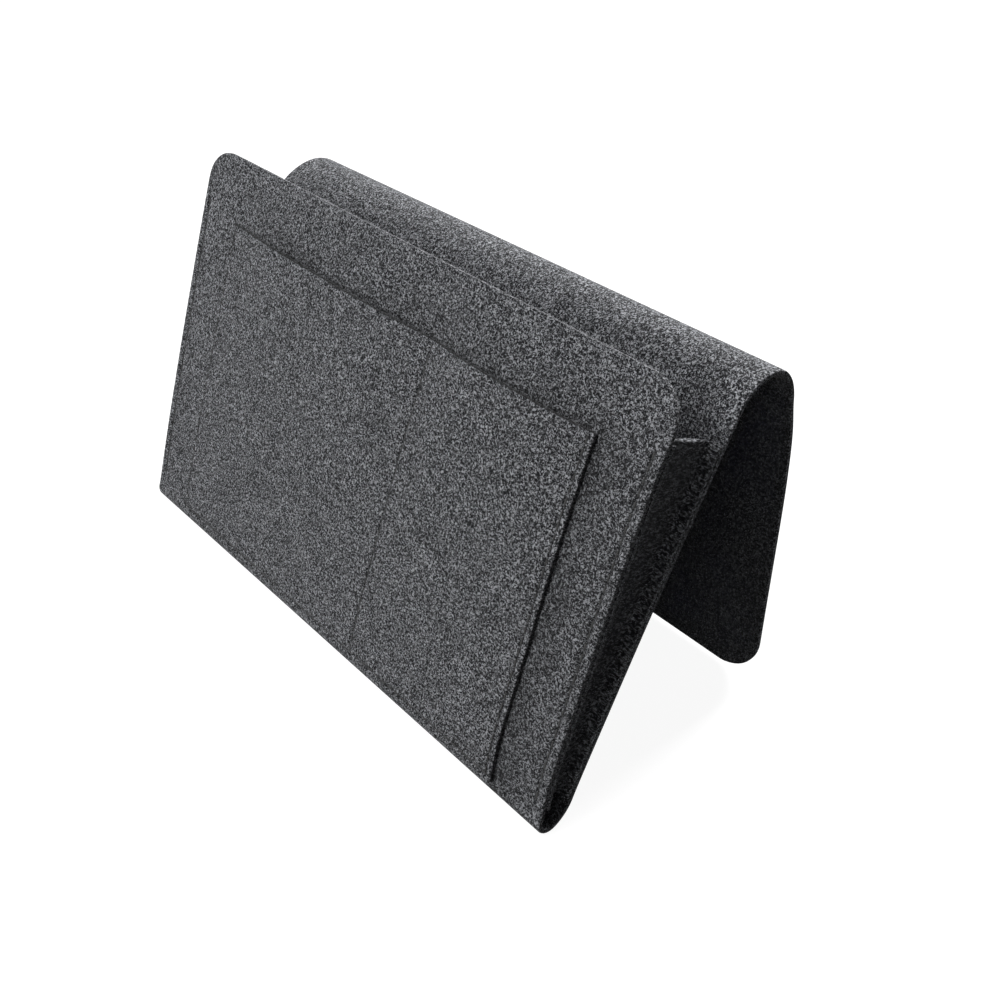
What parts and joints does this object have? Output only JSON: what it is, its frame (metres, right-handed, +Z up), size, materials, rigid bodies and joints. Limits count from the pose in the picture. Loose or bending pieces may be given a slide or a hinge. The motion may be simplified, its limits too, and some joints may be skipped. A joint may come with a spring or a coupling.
{
  "type": "bedside caddy",
  "caption": "Thick felt caddy with a folded main pocket, a sewn front patch that makes small pockets, gusseted ends, and a flap over a rounded ridge that tucks behind a mattress or rail.",
  "frame": {"origin": "middle of the footprint, on the surface that the caddy stands on", "axes": "+X along the width, to the right as seen from the front; +Y from the front pockets to the flap; +Z up"},
  "size_m": [0.32, 0.1388, 0.1848],
  "materials": {
    "felt": "dense charcoal felt, heathered, matt",
    "gusset_felt": "the same charcoal felt, cut in strips",
    "patch_felt": "charcoal felt with a slightly lighter, brushed face",
    "thread": "dark matt sewing thread, drawn into the felt"
  },
  "bodies": {
    "back": {"back_panel": "felt", "bottom_fold": "felt", "ridge": "felt", "left_gusset_web": "gusset_felt", "right_gusset_web": "gusset_felt", "left_gusset_back_hem": "gusset_felt", "right_gusset_back_hem": "gusset_felt", "left_back_stitches": "thread", "right_back_stitches": "thread"},
    "front": {"front_panel": "felt", "pocket_patch": "patch_felt", "left_gusset_front_hem": "gusset_felt", "right_gusset_front_hem": "gusset_felt", "patch_left_stitches": "thread", "patch_right_stitches": "thread", "patch_divider_stitches": "thread", "patch_bottom_stitches": "thread", "left_front_stitches": "thread", "right_front_stitches": "thread"},
    "flap": {"flap": "felt"}
  },
  "joints": [
    {"name": "flap_bend", "type": "hinge", "parent": "back", "child": "flap", "pos_m": [0, 0.05349, 0.17457], "axis": [1, 0, 0], "range_deg": [-28, 150], "stiffness_Nm_per_rad": 0.8, "deforming": ["ridge"]},
    {"name": "pocket_bend", "type": "hinge", "parent": "back", "child": "front", "pos_m": [0, -0.06615, 0.00888], "axis": [1, 0, 0], "range_deg": [-8, 0], "stiffness_Nm_per_rad": 2, "springref_deg": 1.15, "deforming": ["left_gusset_web", "right_gusset_web"]}
  ]
}
